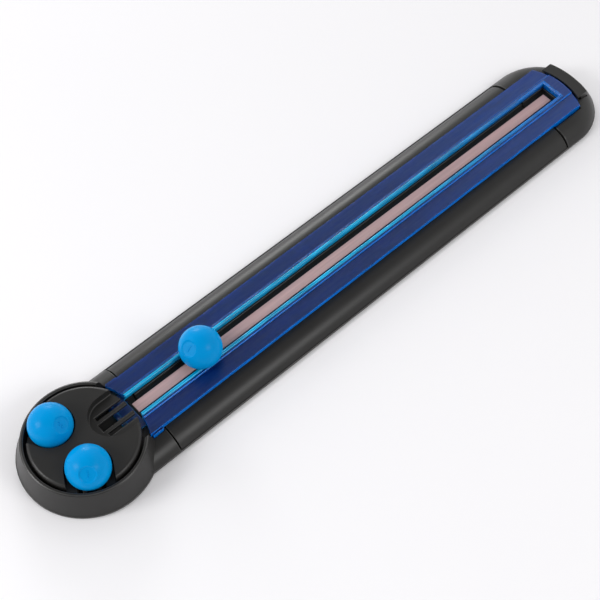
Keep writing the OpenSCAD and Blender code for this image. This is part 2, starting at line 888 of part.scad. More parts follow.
// Holder pressed into a knob: a spring seat with a stem above and a fork for the wheel below
module holder() {
    fork_height = seat_bottom - wheel_height + fork_drop;
    color(charcoal) difference() {
        union() {
            translate([0, 0, seat_bottom]) cylinder(r = seat_radius, h = seat_thickness);
            translate([0, 0, seat_top - overlap])
                cylinder(r = stem_radius, h = stem_length - seat_gap + overlap);
            for (side = [0, 1]) mirror([0, side, 0])
                translate([-fork_reach, fork_gap, wheel_height - fork_drop])
                    cube([2 * fork_reach, fork_half - fork_gap, fork_height + overlap]);
        }
        cross_rod(axle_radius, 0, wheel_height, -fork_half - margin, fork_half + margin);
    }
}

// Axle across the fork
module axle() {
    color(steel) cross_rod(axle_radius, 0, wheel_height, -fork_half, fork_half);
}

// Turns a wheel's profile about the axle; the profile is given as radius and place along the axle
module wheel_turn() {
    translate([0, 0, wheel_height]) rotate([90, 0, 0]) rotate_extrude() children();
}

// Straight blade: a thin disc ground to an edge
module straight_wheel() {
    flat = wheel_radius - blade_bevel;
    color(steel) wheel_turn() polygon([
        [wheel_bore, -wheel_hub_half], [wheel_hub, -wheel_hub_half], [wheel_hub, -blade_half],
        [flat, -blade_half], [wheel_radius, 0], [flat, blade_half],
        [wheel_hub, blade_half], [wheel_hub, wheel_hub_half], [wheel_bore, wheel_hub_half]
    ]);
}

// Scoring wheel: a thicker disc with a round edge
module score_wheel() {
    color(steel) wheel_turn() difference() {
        union() {
            translate([0, -wheel_hub_half]) square([wheel_hub, 2 * wheel_hub_half]);
            translate([0, -2 * blade_half]) square([wheel_radius - 2 * blade_half, 4 * blade_half]);
            translate([wheel_radius - 2 * blade_half, 0]) circle(2 * blade_half);
        }
        translate([0, -wheel_hub_half - margin]) square([wheel_bore, 2 * (wheel_hub_half + margin)]);
        translate([-wheel_radius, -wheel_radius]) square([wheel_radius, 2 * wheel_radius]);
    }
}

// Points of the wave blade's outline at one step round the wheel
function wave_ring(step) =
    let(turn = 360 * step / wave_steps, lean = wave_height * sin(turn * wave_count))
    let(rim = wheel_radius - wave_bevel)
    [for (spot = [[wave_root, -blade_half], [rim, lean - blade_half], [wheel_radius, lean],
                  [rim, lean + blade_half], [wave_root, blade_half]])
        [spot[0] * cos(turn), spot[0] * sin(turn), spot[1]]];

// Wave blade: a disc whose edge runs from side to side
module wave_wheel() {
    sides = 5;
    points = [for (step = [0 : wave_steps - 1]) each wave_ring(step)];
    faces = [for (step = [0 : wave_steps - 1], side = [0 : sides - 1])
        let(next = (step + 1) % wave_steps, over = (side + 1) % sides)
        each [[step * sides + side, step * sides + over, next * sides + side],
              [step * sides + over, next * sides + over, next * sides + side]]];
    color(steel) translate([0, 0, wheel_height]) rotate([90, 0, 0]) union() {
        polyhedron(points, faces);
        difference() {
            translate([0, 0, -wheel_hub_half]) cylinder(r = wheel_hub, h = 2 * wheel_hub_half);
            translate([0, 0, -wheel_hub_half - margin])
                cylinder(r = wheel_bore, h = 2 * (wheel_hub_half + margin));
        }
    }
}

// Points round the spring's wire at one step along it
function spring_ring(step) =
    let(turn = 360 * step / spring_rings, rise = (spring_high - spring_low) / (spring_turns * spring_rings))
    [for (side = [0 : spring_sides - 1])
        let(round = 360 * side / spring_sides, reach = spring_radius + spring_wire * cos(round))
        [reach * cos(turn), reach * sin(turn), spring_low + step * rise + spring_wire * sin(round)]];

// Coil spring between the shoe's flange and the holder's seat, as one tube
module spring() {
    last = spring_turns * spring_rings;
    points = [for (step = [0 : last]) each spring_ring(step)];
    tube = [for (step = [0 : last - 1], side = [0 : spring_sides - 1])
        let(a = step * spring_sides + side, b = step * spring_sides + (side + 1) % spring_sides)
        each [[a, b, a + spring_sides], [b, b + spring_sides, a + spring_sides]]];
    caps = [
        [for (side = [0 : spring_sides - 1]) spring_sides - 1 - side],
        [for (side = [0 : spring_sides - 1]) last * spring_sides + side]
    ];
    color(steel) polyhedron(points, concat(tube, caps));
}

head_housing();
deck();
end_cap();
bottom_plate();
plate_screws();
rubber_feet();
cutting_strip();
hinge_pins();
latch_pin();
detent_leaf();
leaf_screw();
carousel();
carousel_washer();
carousel_screw();
clear_rail();
latch();
at_straight() shoe();  // shoe_straight
at_straight() spring();  // spring_straight
at_straight() knob();  // knob_straight
at_straight() holder();  // holder_straight
at_straight() axle();  // axle_straight
at_straight() straight_wheel();  // wheel_straight
at_wave() shoe();  // shoe_wave
at_wave() spring();  // spring_wave
at_wave() knob();  // knob_wave
at_wave() holder();  // holder_wave
at_wave() axle();  // axle_wave
at_wave() wave_wheel();  // wheel_wave
at_score() shoe();  // shoe_score
at_score() spring();  // spring_score
at_score() knob();  // knob_score
at_score() holder();  // holder_score
at_score() axle();  // axle_score
at_score() score_wheel();  // wheel_score
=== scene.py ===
"""Paper trimmer: finishes, rounded mouldings, marked knobs, fine springs, and a studio to see them in."""

import json
import math

import bpy
from bpy.props import FloatProperty, FloatVectorProperty, IntProperty, PointerProperty
from bpy.types import Operator, Panel, PropertyGroup
from mathutils import Matrix, Vector


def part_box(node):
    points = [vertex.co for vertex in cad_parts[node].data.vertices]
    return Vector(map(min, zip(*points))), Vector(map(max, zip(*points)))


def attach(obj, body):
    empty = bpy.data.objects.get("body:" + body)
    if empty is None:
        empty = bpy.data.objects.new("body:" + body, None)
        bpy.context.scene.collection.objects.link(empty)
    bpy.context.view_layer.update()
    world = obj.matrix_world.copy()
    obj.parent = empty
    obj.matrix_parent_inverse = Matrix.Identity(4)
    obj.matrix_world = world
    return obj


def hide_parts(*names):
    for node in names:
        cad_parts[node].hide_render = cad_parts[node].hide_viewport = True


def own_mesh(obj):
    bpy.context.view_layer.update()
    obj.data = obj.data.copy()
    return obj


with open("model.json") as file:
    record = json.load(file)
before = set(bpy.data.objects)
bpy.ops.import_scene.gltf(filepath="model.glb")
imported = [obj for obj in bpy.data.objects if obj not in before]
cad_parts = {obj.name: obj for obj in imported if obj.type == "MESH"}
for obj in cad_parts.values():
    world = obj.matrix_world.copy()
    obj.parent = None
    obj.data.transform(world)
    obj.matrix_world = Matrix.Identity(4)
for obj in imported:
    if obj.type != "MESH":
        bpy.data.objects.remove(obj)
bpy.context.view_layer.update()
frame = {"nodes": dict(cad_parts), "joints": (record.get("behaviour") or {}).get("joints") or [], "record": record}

bl_info = {
    "name": "Paper Trimmer",
    "version": (1, 0, 0),
    "blender": (4, 5, 0),
    "location": "3D View > Sidebar > Trimmer",
    "description": "Dresses a paper trimmer with a carousel of cutters and a hinged clear rail",
    "category": "Object",
}

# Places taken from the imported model
NODES = frame["nodes"]
JOINTS = {joint["name"]: joint for joint in frame["joints"]}
CUTTERS = ("straight", "wave", "score")
CARRIERS = {"straight": "cutter", "wave": "carousel", "score": "carousel"}
MM = 0.001

# Turns of the carousel's bays round its axis
BAY_TURNS = (0, math.radians(120), math.radians(240))

# The studio: floor width and lamp distance in metres, sides of the lamps, side of the dim front wall
FLOOR_WIDTH = 30
LAMP_DISTANCE = 1.2
LAMP_SIDES = {
    "left_lamp": Vector((-0.80, 0.33, 0.49)),
    "right_lamp": Vector((0.19, -0.75, 0.65)),
    "back_lamp": Vector((0.38, 0.87, 0.28)),
}
FRONT = (-0.7, -0.7, 0)

# Width of the camera's sensor in millimetres
SENSOR_WIDTH = 36

# Which way each knob's mark faces, in plan, and how far the marks lean from the top of the balls
MARK_TURNS = {"straight": math.radians(-178), "wave": math.radians(-70), "score": math.radians(-123)}
MARK_LEAN = math.radians(46)

# How finely CAD meshes are merged, and which of their edges count as sharp
MERGE_DISTANCE = 0.002 * MM
FLAT_ANGLE = math.radians(0.4)
SHARP_ANGLE = math.radians(32)
LEVEL_TOLERANCE = 0.01 * MM

# How far a face's normal rises at most where it is upright, and at least where it is level
UPRIGHT_RISE = 0.3
LEVEL_RISE = 0.5

# Places of a rounded piece's finishes in its list of materials. The edge and slot finishes are painted light: pale
# highlights on the mouldings' rounded edges, and the bright blue and cyan of the clear rail's edges and slot.
FACE_FINISH = 0
EDGE_PAINTED_LIGHT_FINISH = 1
SLOT_PAINTED_LIGHT_FINISH = 2

# How finely new pieces are drawn, and the share of a mark's thickness that its ends are rounded by
BALL_SIDES = 96
BALL_RINGS = 132
STROKE_SIDES = 12
STROKE_STEPS = 16
STROKE_ROUNDING = 0.6
WIRE_SIDES = 10
SPRING_STEPS = 40


# Settings that a user would change

class FinishColours(PropertyGroup):
    """Colours of the trimmer's finishes."""

    charcoal: FloatVectorProperty(
        name="Charcoal", description="Moulded plastic of the base, carousel and latch",
        subtype="COLOR", size=3, min=0, max=1, default=(0.0185, 0.018, 0.0173))
    charcoal_worn: FloatVectorProperty(
        name="Charcoal, rubbed", description="Paler patches of the moulded plastic",
        subtype="COLOR", size=3, min=0, max=1, default=(0.0235, 0.0228, 0.022))
    # Pale colour painted on the base mouldings' rounded edges: a painted highlight where the edges catch the
    # light.
    charcoal_painted_highlight: FloatVectorProperty(
        name="Charcoal, painted edge highlights", description="Highlights painted on the base mouldings' rounded edges",
        subtype="COLOR", size=3, min=0, max=1, default=(0.065, 0.064, 0.062))
    azure: FloatVectorProperty(
        name="Azure", description="Plastic of the ball knobs",
        subtype="COLOR", size=3, min=0, max=1, default=(0.0, 0.3, 0.7))
    azure_deep: FloatVectorProperty(
        name="Azure, deep", description="Deeper patches of the ball knobs",
        subtype="COLOR", size=3, min=0, max=1, default=(0.0, 0.275, 0.65))
    clear_glow: FloatVectorProperty(
        name="Rail glow", description="Blue that the clear rail scatters by itself near the head",
        subtype="COLOR", size=3, min=0, max=1, default=(0.0, 0.037, 0.265))
    # Painted reflection: the rail's far end is painted a brighter blue than its near end.
    clear_glow_far_painted_reflection: FloatVectorProperty(
        name="Rail glow, far end", description="Brighter blue painted on the rail's far end as a reflection",
        subtype="COLOR", size=3, min=0, max=1, default=(0.0, 0.071, 0.42))
    clear_depth: FloatVectorProperty(
        name="Rail depth", description="Colour of the light that passes through the clear rail",
        subtype="COLOR", size=3, min=0, max=1, default=(0.02, 0.8, 0.99))
    # Painted light: the bright blue that gathers along the rail's edges is painted on them as scattered colour.
    clear_edge_painted_light: FloatVectorProperty(
        name="Rail edge", description="Blue of the light that gathers along the clear rail's edges",
        subtype="COLOR", size=3, min=0, max=1, default=(0.0, 0.22, 0.88))
    # Painted shade: the edges' blue is painted a little darker at the rail's far end.
    clear_edge_far_painted_shade: FloatVectorProperty(
        name="Rail edge, far end", description="Blue of the light along the edges at the rail's far end",
        subtype="COLOR", size=3, min=0, max=1, default=(0.0, 0.2, 0.8))
    # Painted light: the cyan light that comes through the slot's walls and the frame is painted on them as
    # scattered colour.
    clear_slot_painted_light: FloatVectorProperty(
        name="Rail slot", description="Cyan of the light that comes out along the clear rail's slot",
        subtype="COLOR", size=3, min=0, max=1, default=(0.0, 0.5, 0.9))
    # Painted shade: the slot is painted a deeper blue at the far end, where less light comes in from the side.
    clear_slot_far_painted_shade: FloatVectorProperty(
        name="Rail slot, far end", description="Blue of the light that comes out at the slot's far end",
        subtype="COLOR", size=3, min=0, max=1, default=(0.0, 0.16, 0.62))
    strip: FloatVectorProperty(
        name="Strip", description="Plastic of the cutting strip",
        subtype="COLOR", size=3, min=0, max=1, default=(0.74, 0.485, 0.465))
    strip_worn: FloatVectorProperty(
        name="Strip, worn", description="Streaks along the cutting strip",
        subtype="COLOR", size=3, min=0, max=1, default=(0.48, 0.325, 0.32))
    steel: FloatVectorProperty(
        name="Steel", description="Screws, pins, springs and blades",
        subtype="COLOR", size=3, min=0, max=1, default=(0.55, 0.56, 0.58))
    rubber: FloatVectorProperty(
        name="Rubber", description="Feet",
        subtype="COLOR", size=3, min=0, max=1, default=(0.012, 0.012, 0.012))
    floor: FloatVectorProperty(
        name="Floor", description="Floor of the studio",
        subtype="COLOR", size=3, min=0, max=1, default=(0.93, 0.92, 0.94))


class FormSizes(PropertyGroup):
    """Sizes of the rounded edges and of the small forms that dress the solids."""

    housing_edge: FloatProperty(
        name="Housing edge", description="Rounding of the base mouldings' edges",
        unit="LENGTH", default=0.35 * MM, min=0.05 * MM, max=0.5 * MM)
    disc_edge: FloatProperty(
        name="Disc edge", description="Rounding of the edges of the carousel's bays",
        unit="LENGTH", default=0.7 * MM, min=0.2 * MM, max=1 * MM)
    bay_fillet: FloatProperty(
        name="Bay fillet", description="Fillet between a bay's wall and its floor",
        unit="LENGTH", default=1.4 * MM, min=0.4 * MM, max=2 * MM)
    rail_edge: FloatProperty(
        name="Rail edge", description="Rounding of the clear rail's edges",
        unit="LENGTH", default=0.35 * MM, min=0.05 * MM, max=0.4 * MM)
    ridge_inner: FloatProperty(
        name="Ridge, inner side", description="Rounding of the frame's edge along the clear rail's slot",
        unit="LENGTH", default=0.9 * MM, min=0.2 * MM, max=1.1 * MM)
    ridge_outer: FloatProperty(
        name="Ridge, outer side", description="Rounding of the frame's outer edge",
        unit="LENGTH", default=0.6 * MM, min=0.2 * MM, max=0.7 * MM)
    band_edge: FloatProperty(
        name="Band edge", description="Rounding of the outer edge of the band below the frame",
        unit="LENGTH", default=0.75 * MM, min=0.2 * MM, max=0.8 * MM)
    latch_corner: FloatProperty(
        name="Latch corner", description="Rounding of the latch's corners in plan",
        unit="LENGTH", default=1.2 * MM, min=0.2 * MM, max=2 * MM)
    latch_edge: FloatProperty(
        name="Latch edge", description="Rounding of the latch's top edges",
        unit="LENGTH", default=0.7 * MM, min=0.1 * MM, max=1 * MM)
    dimple_radius: FloatProperty(
        name="Dimple radius", description="Radius of the round dimple that holds a knob's mark",
        unit="LENGTH", default=5.2 * MM, min=3 * MM, max=6.5 * MM)
    dimple_depth: FloatProperty(
        name="Dimple depth", description="Depth of the dimple's flat floor below its rim",
        unit="LENGTH", default=0.25 * MM, min=0.1 * MM, max=0.6 * MM)
    dimple_slope: FloatProperty(
        name="Dimple slope", description="Width of the slope round the dimple",
        unit="LENGTH", default=1 * MM, min=0.5 * MM, max=3 * MM)
    mark_radius: FloatProperty(
        name="Mark line", description="Half the thickness of the raised line of a mark",
        unit="LENGTH", default=0.35 * MM, min=0.1 * MM, max=0.5 * MM)
    mark_half: FloatProperty(
        name="Mark half length", description="Half the length of a mark",
        unit="LENGTH", default=2.1 * MM, min=1 * MM, max=3 * MM)
    mark_wave: FloatProperty(
        name="Mark wave", description="How far the wavy mark swings to each side",
        unit="LENGTH", default=0.6 * MM, min=0.1 * MM, max=1 * MM)
    knob_wall: FloatProperty(
        name="Knob wall", description="Width of the flat rim under a knob",
        unit="LENGTH", default=1.5 * MM, min=0.5 * MM, max=2 * MM)
    knob_hollow: FloatProperty(
        name="Knob hollow", description="Depth of the hollow under a knob",
        unit="LENGTH", default=5.6 * MM, min=1 * MM, max=5.6 * MM)
    spring_wire: FloatProperty(
        name="Spring wire", description="Radius of the springs' wire",
        unit="LENGTH", default=0.3 * MM, min=0.1 * MM, max=0.4 * MM)
    spring_turns: IntProperty(
        name="Spring turns", description="Turns of each spring", default=4, min=2, max=5)
    track_depth: FloatProperty(
        name="Track depth", description="Depth of the track that the blades have worn in the strip",
        unit="LENGTH", default=0.12 * MM, min=0.02 * MM, max=0.3 * MM)
    track_side: FloatProperty(
        name="Track side", description="Width of the strip left at each side of the track",
        unit="LENGTH", default=1.9 * MM, min=0.5 * MM, max=2.4 * MM)
    foot_edge: FloatProperty(
        name="Foot edge", description="Rounding of the rubber feet's edges",
        unit="LENGTH", default=0.3 * MM, min=0.05 * MM, max=0.4 * MM)


class ViewPlace(PropertyGroup):
    """Where the camera stands."""

    azimuth: FloatProperty(
        name="Azimuth", description="Turn of the view round the trimmer; zero looks along Y",
        subtype="ANGLE", default=math.radians(-44.107))
    elevation: FloatProperty(
        name="Elevation", description="Height of the view above the horizon",
        subtype="ANGLE", default=math.radians(57.37))
    roll: FloatProperty(
        name="Roll", description="Tilt of the camera about its own axis",
        subtype="ANGLE", default=math.radians(1.944))
    distance: FloatProperty(
        name="Distance", description="Distance from the camera to its target",
        unit="LENGTH", default=764.768 * MM, min=0.1)
    target: FloatVectorProperty(
        name="Target", description="Point that the middle of the picture shows",
        subtype="TRANSLATION", size=3, default=(-28.363 * MM, -3.807 * MM, 0.0))
    focal_length: FloatProperty(
        name="Focal length", description="Focal length in millimetres on a sensor 36 mm wide",
        default=80.107, min=10)


class StudioLight(PropertyGroup):
    """Powers and size of the lamps, and the light of the walls and the ceiling."""

    left_power: FloatProperty(
        name="Left lamp", description="Power of the soft lamp on the left",
        subtype="POWER", default=5.6, min=0)
    right_power: FloatProperty(
        name="Right lamp", description="Power of the soft lamp on the right",
        subtype="POWER", default=3.4, min=0)
    back_power: FloatProperty(
        name="Back lamp", description="Power of the low lamp behind the trimmer",
        subtype="POWER", default=4.0, min=0)
    lamp_size: FloatProperty(
        name="Lamp size", description="Width of each square lamp",
        unit="LENGTH", default=0.45, min=0.01)
    walls: FloatProperty(
        name="Walls", description="Strength of the pale walls", default=0.98, min=0)
    front: FloatProperty(
        name="Front wall", description="Share of the walls' light that comes from the front",
        default=0.4, min=0)
    ceiling: FloatProperty(
        name="Ceiling", description="Strength of the dark ceiling", default=0.22, min=0)
    wall_top: FloatProperty(
        name="Wall top", description="Sine of the height above the horizon where the walls begin to darken",
        default=0.74, min=0, max=1)
    ceiling_edge: FloatProperty(
        name="Ceiling edge", description="Sine of the height above the horizon where the ceiling begins",
        default=0.88, min=0, max=1)


class TrimmerSettings(PropertyGroup):
    """All that a user would change."""

    colours: PointerProperty(type=FinishColours)
    sizes: PointerProperty(type=FormSizes)
    view: PointerProperty(type=ViewPlace)
    light: PointerProperty(type=StudioLight)


# Materials

def new_material(name):
    """A fresh material, with its node tree and its main shader."""
    material = bpy.data.materials.new(name)
    material.use_nodes = True
    tree = material.node_tree
    return material, tree, tree.nodes["Principled BSDF"]


def noise(tree, scale, detail=2.0, stretch=(1, 1, 1)):
    """Noise over the piece's own coordinates, as a factor."""
    place = tree.nodes.new("ShaderNodeTexCoord")
    mapping = tree.nodes.new("ShaderNodeMapping")
    mapping.inputs["Scale"].default_value = stretch
    texture = tree.nodes.new("ShaderNodeTexNoise")
    texture.inputs["Scale"].default_value = scale
    texture.inputs["Detail"].default_value = detail
    tree.links.new(place.outputs["Object"], mapping.inputs["Vector"])
    tree.links.new(mapping.outputs["Vector"], texture.inputs["Vector"])
    return texture.outputs["Fac"]


def vary_colour(tree, shader, factor, first, second):
    """Base colour that drifts between two colours with a factor."""
    mix = tree.nodes.new("ShaderNodeMix")
    mix.data_type = "RGBA"
    mix.inputs["A"].default_value = (*first, 1)
    mix.inputs["B"].default_value = (*second, 1)
    tree.links.new(factor, mix.inputs["Factor"])
    tree.links.new(mix.outputs["Result"], shader.inputs["Base Color"])


def vary_roughness(tree, shader, factor, low, high):
    """Roughness that drifts between two values with a factor."""
    spread = tree.nodes.new("ShaderNodeMapRange")
    spread.inputs["To Min"].default_value = low
    spread.inputs["To Max"].default_value = high
    tree.links.new(factor, spread.inputs["Value"])
    tree.links.new(spread.outputs["Result"], shader.inputs["Roughness"])


def grain(tree, shader, factor, strength, depth):
    """Fine relief of the surface."""
    bump = tree.nodes.new("ShaderNodeBump")
    bump.inputs["Strength"].default_value = strength
    bump.inputs["Distance"].default_value = depth
    tree.links.new(factor, bump.inputs["Height"])
    tree.links.new(bump.outputs["Normal"], shader.inputs["Normal"])


def charcoal_plastic(colours):
    """Satin black moulding with a fine spark-eroded grain."""
    material, tree, shader = new_material("Charcoal plastic")
    patches = noise(tree, scale=70, detail=3)
    vary_colour(tree, shader, patches, colours.charcoal, colours.charcoal_worn)
    vary_roughness(tree, shader, patches, low=0.3, high=0.4)
    shader.inputs["Specular IOR Level"].default_value = 0.3
    grain(tree, shader, noise(tree, scale=3200, detail=2), strength=0.12, depth=0.04 * MM)
    return material


def charcoal_painted_highlight(colours):
    """The rounded edges of the mouldings, painted pale and smooth: a painted highlight where the edges catch the
    light.
    """
    material, tree, shader = new_material("Charcoal painted highlight")
    patches = noise(tree, scale=200, detail=3)
    vary_colour(tree, shader, patches, colours.charcoal_worn, colours.charcoal_painted_highlight)
    vary_roughness(tree, shader, patches, low=0.25, high=0.35)
    return material


def azure_plastic(colours):
    """Satin azure of the ball knobs."""
    material, tree, shader = new_material("Azure plastic")
    patches = noise(tree, scale=140, detail=2)
    vary_colour(tree, shader, patches, colours.azure_deep, colours.azure)
    vary_roughness(tree, shader, patches, low=0.2, high=0.28)
    shader.inputs["Specular IOR Level"].default_value = 0.06
    grain(tree, shader, noise(tree, scale=2600, detail=2), strength=0.06, depth=0.03 * MM)
    return material


def painted_light_along_rail(tree):
    """Factor that rises from nothing at the middle of the clear rail to one at its far end, which paints light and
    shade along the rail.
    """
    near, far = (corner.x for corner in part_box("clear_rail"))
    place = tree.nodes.new("ShaderNodeTexCoord")
    split = tree.nodes.new("ShaderNodeSeparateXYZ")
    rise = tree.nodes.new("ShaderNodeMapRange")
    rise.interpolation_type = "SMOOTHSTEP"
    rise.inputs["From Min"].default_value = (near + far) / 2
    rise.inputs["From Max"].default_value = far
    tree.links.new(place.outputs["Object"], split.inputs["Vector"])
    tree.links.new(split.outputs["X"], rise.inputs["Value"])
    return rise.outputs["Result"]


def tinted_clear(name, colours, near, far, shares, gloss):
    """See-through satin blue: clear plastic that soaks up red and scatters a drifting share of blue, whose colour
    is painted to change from the near end to the far end as light and shade.
    """
    material, tree, clear = new_material(name)
    flow = noise(tree, scale=55, detail=1, stretch=(0.3, 1, 1))
    clear.inputs["Base Color"].default_value = (0.9, 0.97, 1.0, 1)
    clear.inputs["Transmission Weight"].default_value = 1.0
    clear.inputs["IOR"].default_value = 1.49
    vary_roughness(tree, clear, flow, *gloss)
    glow = tree.nodes.new("ShaderNodeBsdfPrincipled")
    # Painted light and shade: the scattered blue turns from its near colour to its far colour along the rail.
    vary_colour(tree, glow, painted_light_along_rail(tree), near, far)
    vary_roughness(tree, glow, flow, *gloss)
    share = tree.nodes.new("ShaderNodeMapRange")
    share.inputs["From Min"].default_value = 0.3
    share.inputs["From Max"].default_value = 0.7
    share.inputs["To Min"].default_value, share.inputs["To Max"].default_value = shares
    mix = tree.nodes.new("ShaderNodeMixShader")
    depth = tree.nodes.new("ShaderNodeVolumeAbsorption")
    depth.inputs["Color"].default_value = (*colours.clear_depth, 1)
    depth.inputs["Density"].default_value = 650
    output = tree.nodes["Material Output"]
    tree.links.new(noise(tree, scale=420, detail=3, stretch=(0.15, 1, 1)), share.inputs["Value"])
    tree.links.new(share.outputs["Result"], mix.inputs["Fac"])
    tree.links.new(clear.outputs["BSDF"], mix.inputs[1])
    tree.links.new(glow.outputs["BSDF"], mix.inputs[2])
    tree.links.new(mix.outputs["Shader"], output.inputs["Surface"])
    tree.links.new(depth.outputs["Volume"], output.inputs["Volume"])
    return material


def clear_blue_plastic(colours):
    """The faces of the clear rail, with a painted reflection that brightens the far end."""
    return tinted_clear("Clear blue plastic", colours, colours.clear_glow, colours.clear_glow_far_painted_reflection,
                        shares=(0.2, 0.4), gloss=(0.28, 0.32))


def clear_blue_edge_painted_light(colours):
    """The edges of the clear rail, painted with the light that comes out of it there."""
    return tinted_clear("Clear blue painted edge light", colours, colours.clear_edge_painted_light, colours.clear_edge_far_painted_shade,
                        shares=(0.5, 0.9), gloss=(0.15, 0.25))


def clear_blue_slot_painted_light(colours):
    """The walls of the clear rail's slot and the frame round it, painted with the cyan light that comes through
    them from both sides.
    """
    return tinted_clear("Clear blue painted slot light", colours, colours.clear_slot_painted_light, colours.clear_slot_far_painted_shade,
                        shares=(0.4, 0.95), gloss=(0.15, 0.25))


def strip_plastic(colours):
    """Matt pinkish beige with streaks along the cut."""
    material, tree, shader = new_material("Strip plastic")
    streaks = noise(tree, scale=900, detail=3, stretch=(0.03, 1, 1))
    vary_colour(tree, shader, streaks, colours.strip, colours.strip_worn)
    vary_roughness(tree, shader, streaks, low=0.5, high=0.65)
    grain(tree, shader, streaks, strength=0.2, depth=0.05 * MM)
    return material


def bright_steel(colours):
    """Zinc-bright steel with faint drawing lines."""
    material, tree, shader = new_material("Bright steel")
    lines = noise(tree, scale=1500, detail=3, stretch=(1, 0.1, 1))
    shader.inputs["Metallic"].default_value = 1.0
    vary_colour(tree, shader, lines, colours.steel, tuple(0.85 * c for c in colours.steel))
    vary_roughness(tree, shader, lines, low=0.2, high=0.34)
    return material


def ground_steel(colours):
    """Ground steel of the blade wheels."""
    material, tree, shader = new_material("Ground steel")
    lines = noise(tree, scale=4000, detail=2, stretch=(1, 1, 0.2))
    shader.inputs["Metallic"].default_value = 1.0
    vary_colour(tree, shader, lines, tuple(1.2 * c for c in colours.steel), colours.steel)
    vary_roughness(tree, shader, lines, low=0.12, high=0.24)
    return material


def black_rubber(colours):
    """Dull rubber of the feet."""
    material, tree, shader = new_material("Black rubber")
    specks = noise(tree, scale=1800, detail=3)
    vary_colour(tree, shader, specks, colours.rubber, tuple(1.6 * c for c in colours.rubber))
    vary_roughness(tree, shader, specks, low=0.75, high=0.9)
    grain(tree, shader, specks, strength=0.3, depth=0.08 * MM)
    return material


def pale_floor(colours):
    """Plain pale floor."""
    material, tree, shader = new_material("Pale floor")
    paler = tuple(min(1, 1.01 * c) for c in colours.floor)
    vary_colour(tree, shader, noise(tree, scale=6, detail=2), colours.floor, paler)
    shader.inputs["Roughness"].default_value = 0.8
    shader.inputs["Specular IOR Level"].default_value = 0.2
    return material


FINISHES = {
    "charcoal_plastic": charcoal_plastic,
    "charcoal_painted_highlight": charcoal_painted_highlight,
    "azure_plastic": azure_plastic,
    "clear_blue_plastic": clear_blue_plastic,
    "clear_blue_edge_painted_light": clear_blue_edge_painted_light,
    "clear_blue_slot_painted_light": clear_blue_slot_painted_light,
    "beige_strip": strip_plastic,
    "steel": bright_steel,
    "blade_steel": ground_steel,
    "black_rubber": black_rubber,
    "floor": pale_floor,
}
made_finishes = {}


def finish(slot):
    """The material of a slot, made once."""
    if slot not in made_finishes:
        made_finishes[slot] = FINISHES[slot](bpy.context.scene.trimmer.colours)
    return made_finishes[slot]


# Handling of pieces

def pick(piece):
    """Selects one piece alone and makes it active."""
    bpy.ops.object.select_all(action="DESELECT")
    piece.select_set(True)
    bpy.context.view_layer.objects.active = piece
    return piece


def named_active(name):
    """Names the primitive that was just added."""
    piece = bpy.context.active_object
    piece.name = name
    piece.data.name = name
    return piece


def settle(piece):
    """Puts the piece's place into its mesh, and leaves its object at the origin."""
    pick(piece)
    bpy.ops.object.transform_apply(location=True, rotation=True, scale=True)


def coat(piece, *finishes):
    """Gives a piece its materials."""
    piece.data.materials.clear()
    for name in finishes:
        piece.data.materials.append(finish(name))


def dress(piece, slot, body, *replaced):
    """Gives a finished piece its shading, slot and body, and hides the parts that it stands for."""
    pick(piece)
    if not piece.data.materials:
        coat(piece, slot)
    bpy.ops.object.shade_smooth_by_angle(angle=SHARP_ANGLE)
    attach(piece, body)
    if replaced:
        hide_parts(*replaced)
    return piece


def clean(piece):
    """Merges the corners that rounding has brought together, and takes away the faces with no area."""
    pick(piece)
    bpy.ops.object.mode_set(mode="EDIT")
    bpy.ops.mesh.select_all(action="SELECT")
    bpy.ops.mesh.remove_doubles(threshold=MERGE_DISTANCE)
    bpy.ops.mesh.dissolve_degenerate(threshold=MERGE_DISTANCE)
    bpy.ops.object.mode_set(mode="OBJECT")


def dress_moulding(piece, slot, body, *replaced):
    """Dresses a moulding, and keeps its flat faces flat beside their rounded edges."""
    clean(piece)
    dress(piece, slot, body, *replaced)
    bpy.ops.object.modifier_add(type="WEIGHTED_NORMAL")
    weighting = piece.modifiers[-1]
    weighting.keep_sharp = True
    bpy.ops.object.modifier_apply(modifier=weighting.name)


def copy_of_node(node, name):
    """A copy of a CAD node with its triangles merged into plain faces, to be rounded."""
    bpy.ops.object.select_all(action="DESELECT")
    piece = bpy.data.objects.new(name, NODES[node].data.copy())
    bpy.context.scene.collection.objects.link(piece)
    piece.data.materials.clear()
    pick(piece)
    bpy.ops.mesh.customdata_custom_splitnormals_clear()
    bpy.ops.object.mode_set(mode="EDIT")
    bpy.ops.mesh.select_all(action="SELECT")
    bpy.ops.mesh.remove_doubles(threshold=MERGE_DISTANCE)
    bpy.ops.mesh.dissolve_limited(angle_limit=FLAT_ANGLE)
    bpy.ops.object.mode_set(mode="OBJECT")
    return piece


def select_sharp(piece, wanted):
    """Enters edit mode with those sharp edges selected that are wanted, by the places of their ends."""
    pick(piece)
    bpy.ops.object.mode_set(mode="EDIT")
    bpy.ops.mesh.select_mode(type="EDGE")
    bpy.ops.mesh.select_all(action="DESELECT")
    bpy.ops.mesh.edges_select_sharp(sharpness=SHARP_ANGLE)
    bpy.ops.object.mode_set(mode="OBJECT")
    mesh = piece.data
    places = [corner.co for corner in mesh.vertices]
    kept = [edge.select and wanted(*(places[end] for end in edge.vertices)) for edge in mesh.edges]
    for items in (mesh.vertices, mesh.polygons):
        items.foreach_set("select", [False] * len(items))
    mesh.edges.foreach_set("select", kept)
    bpy.ops.object.mode_set(mode="EDIT")


def round_selected(offset, segments, finish_number=-1, clamp=True):
    """Rounds the selected edges, perhaps with another of the piece's finishes, and leaves edit mode."""
    bpy.ops.mesh.bevel(
        offset=offset, segments=segments, affect="EDGES", clamp_overlap=clamp, material=finish_number)
    bpy.ops.object.mode_set(mode="OBJECT")


